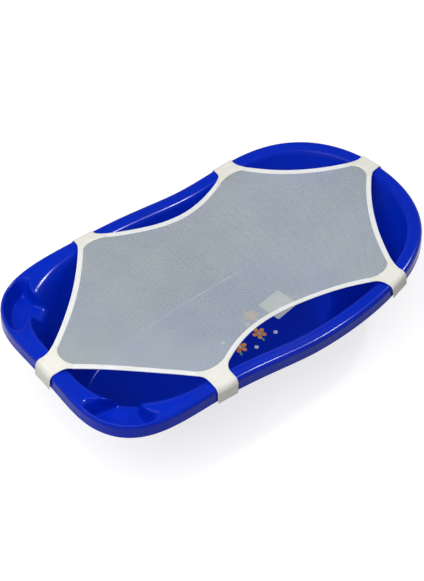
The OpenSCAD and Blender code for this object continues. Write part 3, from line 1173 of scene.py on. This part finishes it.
@dataclass
class BathNet:
    """The open net, knitted in square meshes."""

    net: NetForm
    pitch: float = 3.0
    strand: float = 1.95
    under_tape: float = 3.5
    body: str = BASE_BODY

    def lattice(self) -> tuple[Array, Faces]:
        """Knots and the strands between them.

        Returns:
            Plan points, four a knot, and faces.
        """
        ring = self.net.ring(self.under_tape)
        low, high = ring.min(axis=0), ring.max(axis=0)
        steps = [np.arange(a, b, self.pitch) for a, b in zip(low, high)]
        knots = np.stack(np.meshgrid(*steps, indexing="ij"), axis=-1)
        kept = inside_polygon(ring, knots.reshape(-1, 2)).reshape(knots.shape[:2])
        number = np.cumsum(kept).reshape(kept.shape) - 1
        square = self.strand / 2 * np.array([[-1, -1], [1, -1], [1, 1], [-1, 1]])
        flat = (knots[kept][:, None] + square[None]).reshape(-1, 2)
        own = 4 * number[kept]
        faces = np.stack([own, own + 1, own + 2, own + 3], axis=1).tolist()
        pair = kept[:-1] & kept[1:]
        a, b = 4 * number[:-1][pair], 4 * number[1:][pair]
        faces += np.stack([a + 1, b, b + 3, a + 2], axis=1).tolist()
        pair = kept[:, :-1] & kept[:, 1:]
        a, b = 4 * number[:, :-1][pair], 4 * number[:, 1:][pair]
        faces += np.stack([a + 3, a + 2, b + 1, b], axis=1).tolist()
        return flat, faces

    def build(self, edging: Sequence[Object]) -> Object:
        """Makes the net.

        Args:
            edging: the tapes sewn to its edge; not used.

        Returns:
            The net's object.
        """
        flat, faces = self.lattice()
        obj = Piece("net_panel", self.net.lifted(flat), faces, uv=flat).make(NET_YARN.material())
        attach(obj, self.body)
        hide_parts("net_mesh")
        cut = self.net.ring(0.0)
        return obj


@dataclass
class EdgeTape:
    """One folded tape that binds the net's edge between two clips."""

    net: NetForm
    k: int
    thick: float = 2.4
    start: float = 15.0
    length_steps: int = 60
    rows: int = 64
    sides: int = 20
    fullness: Pair = (0.45, 0.7)
    seam_place: float = 0.62
    seam_width: float = 0.9
    seam_depth: float = 0.35
    body: str = BASE_BODY

    def build(self) -> Object:
        """Makes the tape as a rounded band along its scallop.

        Returns:
            The tape's object.
        """
        net, name = self.net, CLIPS[self.k].value
        line = net.scallop(self.k, np.linspace(0, 1, self.length_steps))
        length = float(np.linalg.norm(np.diff(line, axis=0), axis=1).sum())
        t = np.linspace(self.start / length, 1 - self.start / length, self.rows)
        turns = round_turn(self.sides)
        wide = net.tape_width / 2
        across = wide * bowed(np.cos(turns), self.fullness[0])
        off_seam = (across - self.seam_place * wide) / self.seam_width
        seam = 1 - self.seam_depth * np.exp(-(off_seam ** 2))
        rise = self.thick / 2 * bowed(np.sin(turns), self.fullness[1]) * seam
        rings = np.stack([net.lifted(net.inside(self.k, t, wide + dx)) for dx in across], axis=1)
        rings[..., 2] += rise
        faces = closed_stack(*rings.shape[:2])
        uv = np.stack(np.broadcast_arrays(across[None], (t * length)[:, None]), axis=-1)
        piece = Piece(f"tape_{name}", rings.reshape(-1, 3), faces, uv=uv.reshape(-1, 2))
        obj = piece.make(TAPE_CLOTH.material())
        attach(obj, self.body)
        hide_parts(f"binding_{name}")
        return obj


@dataclass
class Strap:
    """One fabric strap from the net's corner over the rim to its hook."""

    net: NetForm
    k: int
    thick: float = 1.2
    clear: float = 0.4
    hook_thick: float = 1.6
    lip_gap: float = 0.6
    lip_thick: float = 2.0
    flare: float = 14.0
    merge: float = 17.0
    over_net: float = 0.8
    rise_rate: float = 1.6
    side_pulls: Pair = (0.8, 0.7)
    fold_span: Pair = (4.0, -3.0)
    flap_rows: int = 16
    flap_end: float = 0.06
    edge_rows: int = 30
    top_rows: int = 5
    end_rows: int = 20
    columns: int = 33

    @property
    def place(self) -> ClipPlace:
        """Frame of this strap's clip."""
        return self.net.places[self.k]

    @property
    def pivot_out(self) -> float:
        """Distance of the fold's axis from the outline."""
        return self.clear + self.hook_thick + self.net.gap / 3 + self.thick / 2

    @property
    def seat(self) -> float:
        """Height of the strap's middle over the rim's surface."""
        return self.clear + self.thick / 2

    def rim_path(self) -> Array:
        """Section from the lower end up the skirt and over the crown.

        Returns:
            Pairs of outward and upward places.
        """
        form = self.place.form
        low = -form.skirt_height - self.lip_gap - self.lip_thick
        foot = form.skirt_flare * (-low - form.edge_drop) / (form.skirt_height - form.edge_drop)
        path = [
            (self.pivot_out + foot * t, mix(-form.edge_drop, low, t))
            for t in np.linspace(1, self.flap_end, self.flap_rows)
        ]
        end = self.place.inset - self.flare
        for t in np.linspace(0, math.pi / 2, self.edge_rows):
            lift = mix(self.pivot_out, self.seat, math.sin(t))
            out = (form.crown_inset + lift) * math.cos(t) - form.crown_inset
            if out >= -end:
                path.append((out, (form.edge_drop + lift) * math.sin(t) - form.edge_drop))
        for inset in np.linspace(form.crown_inset, max(end, form.crown_inset), self.top_rows)[1:]:
            if inset > form.crown_inset:
                path.append((-inset, self.seat))
        return np.array(path)

    def junction(self, start: Array) -> Array:
        """Flared end where the strap parts into the two tapes.

        Args:
            start: last row of the strap, shape (columns, 3).

        Returns:
            Rows that go on from the strap, shape (rows, columns, 3).
        """
        net, k, wide = self.net, self.k, self.net.tape_width
        before, after = (k - 1) % len(CLIPS), k

        def step(which: int) -> float:
            """Share of a scallop that the strap takes up."""
            span = net.corner(which, 1) - net.corner(which + 1, -1)
            return self.merge / float(np.linalg.norm(span))

        left, right = 1 - step(before), step(after)
        left_out, left_in = net.scallop(before, left), net.inside(before, left, wide)
        right_out, right_in = net.scallop(after, right), net.inside(after, right, wide)
        s, t = np.linspace(0, 1, self.end_rows), np.linspace(0, 1, self.columns)
        near, far = self.side_pulls
        first = start[:, :2]
        ends = ((first[0], net.corner(k, -1), left_out), (first[-1], net.corner(k, 1), right_out))
        sides = [cubic(a, mix(a, c, near), mix(b, c, far), b, s) for a, c, b in ends]
        pulls = net.inside(before, 1.0, wide), net.inside(after, 0.0, wide)
        share = wide / (2 * wide + np.linalg.norm(left_in - right_in))
        inner = np.clip((t - share) / (1 - 2 * share), 0, 1)
        last = cubic(left_in, pulls[0], pulls[1], right_in, inner)
        last += (left_out - left_in) * np.clip(1 - t / share, 0, 1)[:, None]
        last += (right_out - right_in) * np.clip(1 - (1 - t) / share, 0, 1)[:, None]
        u, w = t[None, :, None], s[:, None, None]
        plan = mix(first[None], last[None], w) + mix(sides[0][:, None], sides[1][:, None], u)
        plan -= mix(mix(first[0], first[-1], u), mix(last[0], last[-1], u), w)
        rim = self.place.rim_rise(plan) + (start[:, 2] - self.place.rim_rise(first))[None]
        level = net.height(plan) + self.over_net
        height = mix(rim, level, smooth(self.rise_rate * s)[:, None])
        form = self.place.form
        floor = form.crown(plan[..., 0]) - form.rim_drop(form.inset(plan)) + self.seat
        return np.concatenate([plan, np.maximum(height, floor)[..., None]], axis=-1)[1:]

    def grid(self) -> Array:
        """Middle surface of the whole strap, from its lower end to the net.

        Returns:
            Points, shape (rows, columns, 3).
        """
        u = np.linspace(-0.5, 0.5, self.columns)[None] * self.net.tab_width
        path = self.rim_path()
        rows = self.place.point(path[:, :1] + 0 * u, u + 0 * path[:, :1], path[:, 1:] + 0 * u)
        return np.concatenate([rows, self.junction(rows[-1])])

    def build(self) -> Object:
        """Makes the strap.

        Returns:
            The strap's object.
        """
        name = CLIPS[self.k].value
        grid = self.grid()
        points, faces, uv = cloth_shell(grid, self.thick)
        obj = Piece(f"strap_{name}", points, faces, uv=uv).make(STRAP_CLOTH.material())
        fold = -self.place.form.edge_drop
        start, end = (
            self.place.point(self.pivot_out, 0.0, fold + rise) * MM for rise in self.fold_span
        )
        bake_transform(obj)
        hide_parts(f"tab_{name}", f"flap_{name}")
        return obj


@dataclass
class Hook:
    """One moulded hook, whose lip holds under the skirt."""

    k: int

    def build(self) -> Object:
        """Gives the hook's own solid its finish.

        Returns:
            The solid's object.
        """
        name = f"hook_{CLIPS[self.k].value}"
        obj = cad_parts[name]
        obj.data.materials.clear()
        obj.data.materials.append(HOOK_PLASTIC.material())
        LOG.info("%s: solid kept", name)
        return obj


# The floor's print and label

@dataclass
class FloorMarks:
    """A print of flowers, leaves and dots, and a blank label, on the tub's floor."""

    form: TubForm
    film: float = 0.4
    body: str = BASE_BODY
    flowers: tuple[Pair, ...] = ((2, -46), (56, -42), (74, 6))
    dots: tuple[Pair, ...] = ((28, -66), (30, -24), (52, -10), (84, -60), (-18, -16))
    flower: float = 30.0
    flower_turn: float = 20.0
    petal_angles: Sequence[float] = range(0, 360, 72)
    petal_span: Pair = (0.29, 0.21)
    petal_width: float = 0.15
    petal_taper: float = 0.25
    leaf_angles: Sequence[float] = (56, 236)
    leaf_span: Pair = (0.42, 0.32)
    leaf_width: float = 0.08
    leaf_steps: int = 14
    heart: float = 0.075
    dot: float = 4.5
    round_steps: int = 28
    label_place: Pair = (138.0, -7.0)
    label_size: Pair = (62.0, 55.0)
    label_turn: float = 8.0
    label_steps: int = 64
    label_corner: float = 0.12
    sink: float = 0.02
    bevel_from: float = 0.7
    bevel_size: float = 0.97

    def plates(self, name: str, shapes: Sequence[Array], finish: Material) -> Object:
        """Thin plates on the floor, from their outlines.

        Args:
            name: the piece's name.
            shapes: closed plan outlines.
            finish: its material.

        Returns:
            One object with all the plates.
        """
        points: list[Array] = []
        faces: Faces = []
        for shape in shapes:
            n, first = len(shape), sum(len(p) for p in points)
            top = mix(shape.mean(axis=0), shape, self.bevel_size)
            side = (shape, self.bevel_from * self.film)
            for plan, rise in ((shape, self.sink), side, (top, self.film)):
                points.append(np.column_stack([plan, np.full(n, self.form.floor_z + rise)]))
            faces += [[first + f for f in face] for face in closed_stack(3, n)]
        obj = Piece(name, np.concatenate(points), faces, flat_shaded=True).make(finish)
        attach(obj, self.body)
        return obj

    def turned(self, long: Array, wide: Array, angle: float, place: Sequence[float]) -> Array:
        """Plan outline turned by an angle in degrees and moved to its place."""
        a = math.radians(angle)
        x, y = long * math.cos(a) - wide * math.sin(a), long * math.sin(a) + wide * math.cos(a)
        return np.stack([x + place[0], y + place[1]], axis=1)

    def at_flowers(self, long: Array, wide: Array, angles: Sequence[float]) -> list[Array]:
        """One outline at each flower and each angle."""
        return [
            self.turned(long, wide, angle + self.flower_turn * n, place)
            for n, place in enumerate(self.flowers) for angle in angles
        ]

    def petals(self) -> list[Array]:
        """Outlines of all petals.

        Returns:
            One closed plan line a petal.
        """
        turn, (middle, half) = round_turn(self.round_steps), self.petal_span
        long = self.flower * (middle + half * np.cos(turn))
        taper = 1 + self.petal_taper * np.cos(turn)
        wide = self.flower * self.petal_width * np.sin(turn) * taper
        return self.at_flowers(long, wide, self.petal_angles)

    def leaves(self) -> list[Array]:
        """Outlines of all leaves.

        Returns:
            One closed plan line a leaf.
        """
        n, (start, length) = self.leaf_steps, self.leaf_span
        side = np.concatenate([np.linspace(0, 1, n), np.linspace(1, 0, n)[1:-1]])
        wide = self.flower * self.leaf_width * np.sin(math.pi * side)
        wide[n:] *= -1
        return self.at_flowers(self.flower * (start + length * side), wide, self.leaf_angles)

    def discs(self) -> list[Array]:
        """Outlines of the dots and the flowers' hearts."""
        line = around(1.0, round_turn(self.round_steps), 0.0)[:, :2]
        hearts = [np.array(p) + line * self.flower * self.heart for p in self.flowers]
        return hearts + [np.array(p) + line * self.dot for p in self.dots]

    def label(self) -> Array:
        """Outline of the label, with small round corners."""
        turn = round_turn(self.label_steps)
        waves = (bowed(wave, self.label_corner) for wave in (np.cos(turn), np.sin(turn)))
        long, wide = (size * wave / 2 for size, wave in zip(self.label_size, waves))
        return self.turned(long, wide, self.label_turn, self.label_place)

    def build(self) -> None:
        """Makes the print and the label."""
        petals = self.plates("print_petals", self.petals(), ORANGE_INK.material())
        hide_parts("floor_print")
        self.plates("print_leaves", self.leaves(), GREEN_INK.material())
        self.plates("print_dots", self.discs(), WHITE_INK.material())
        label = self.plates("blank_label", [self.label()], LABEL_FILM.material())
        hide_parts("floor_label")


# Studio

@dataclass(frozen=True)
class Lamp:
    """A square lamp that faces the tub: place and side in metres, power in watts.

    A lamp for glints only is seen in glossy surfaces, and adds no light to matt ones.
    """

    name: str
    place: tuple[float, float, float]
    size: float
    power: float
    glints_only: bool = False


@dataclass
class Studio:
    """White studio with soft light, and the camera."""

    centre: tuple[float, float, float] = (0.0, 0.0, 0.21)
    azimuth: float = -42.57
    elevation: float = 46.18
    roll: float = 3.44
    distance: float = 2.245
    lens: float = 73.61
    sensor: float = 36.0
    frame_height: float = 581.0
    shift: Pair = (-16.9, -26.4)
    ambient: float = 0.32
    floor_radius: float = 5000.0
    cove_radius: float = 1200.0
    cove_height: float = 4000.0
    cove_middle: float = 0.04
    cove_rows: int = 10
    cove_sides: int = 72
    lamps: tuple[Lamp, ...] = (
        Lamp("key", (1.25, -0.3, 1.95), 0.18, 9.0),
        Lamp("glint", (1.25, -0.3, 1.95), 0.4, 90.0, True),
        Lamp("fill", (-1.0, -0.2, 1.8), 1.8, 33.0),
    )

    def camera(self) -> None:
        """Adds the camera at the photograph's angle."""
        a, e, r = (math.radians(v) for v in (self.azimuth, self.elevation, self.roll))
        back = Vector((math.sin(a) * math.cos(e), -math.cos(a) * math.cos(e), math.sin(e)))
        right = Vector((math.cos(a), math.sin(a), 0.0))
        up = back.cross(right)
        c, s = math.cos(r), math.sin(r)
        sides = (c * right + s * up, c * up - s * right, back)
        data = bpy.data.cameras.new("camera")
        data.lens, data.sensor_width = self.lens, self.sensor
        data.shift_x, data.shift_y = (pixels / self.frame_height for pixels in self.shift)
        obj = add_object("camera", data)
        obj.location = Vector(self.centre) + back * self.distance
        obj.rotation_euler = Matrix(sides).transposed().to_euler()
        bpy.context.scene.camera = obj

    def light(self, lamp: Lamp) -> None:
        """Adds one lamp.

        Args:
            lamp: what to add, and where.
        """
        data = bpy.data.lights.new(lamp.name, "AREA")
        data.size, data.energy = lamp.size, lamp.power
        obj = add_object(lamp.name, data)
        obj.location = lamp.place
        obj.visible_diffuse = not lamp.glints_only
        way = Vector(self.centre) - obj.location
        obj.rotation_euler = way.to_track_quat("-Z", "Y").to_euler()

    def surround(self) -> None:
        """Gives a low even light from all sides."""
        bench = NodeBench(bpy.data.worlds.new("surround"))
        glow = bench.node(
            "ShaderNodeBackground", sockets={"Color": (1.0, 1.0, 1.0), "Strength": self.ambient}
        )
        bpy.context.scene.world = bench.end(bench.out(glow), "ShaderNodeOutputWorld")

    def cove(self) -> None:
        """Adds the white floor, which rises into a wall all round."""
        flat, bend = self.floor_radius, self.cove_radius
        profile = [(self.cove_middle * flat, 0.0)]
        for t in np.radians(np.linspace(0, 90, self.cove_rows)):
            profile.append((flat + bend * math.sin(t), bend * (1 - math.cos(t))))
        profile.append((profile[-1][0], self.cove_height))
        turn = round_turn(self.cove_sides)
        rings = [around(reach, turn, z) for reach, z in profile]
        faces = ring_strips(len(rings), len(turn))
        faces.append(range(len(turn) - 1, -1, -1))
        obj = Piece("studio_cove", np.concatenate(rings), faces).make(STUDIO_PAPER.material())

    def build(self) -> None:
        """Sets the whole studio."""
        self.camera()
        self.surround()
        self.cove()
        for lamp in self.lamps:
            self.light(lamp)
        bpy.context.scene.view_settings.view_transform = "Standard"


def main() -> None:
    """Builds the tub, its net, clips and floor marks, and the studio."""
    logging.basicConfig(level=logging.INFO, format="%(name)s %(message)s")
    form = TubForm()
    net = NetForm(form)
    Studio().build()
    TubShell(form).build()
    FloorMarks(form).build()
    tapes = [EdgeTape(net, k).build() for k in range(len(CLIPS))]
    for k in range(len(CLIPS)):
        Strap(net, k).build()
        Hook(k).build()
    BathNet(net).build(tapes)


if __name__ == "__main__":
    main()
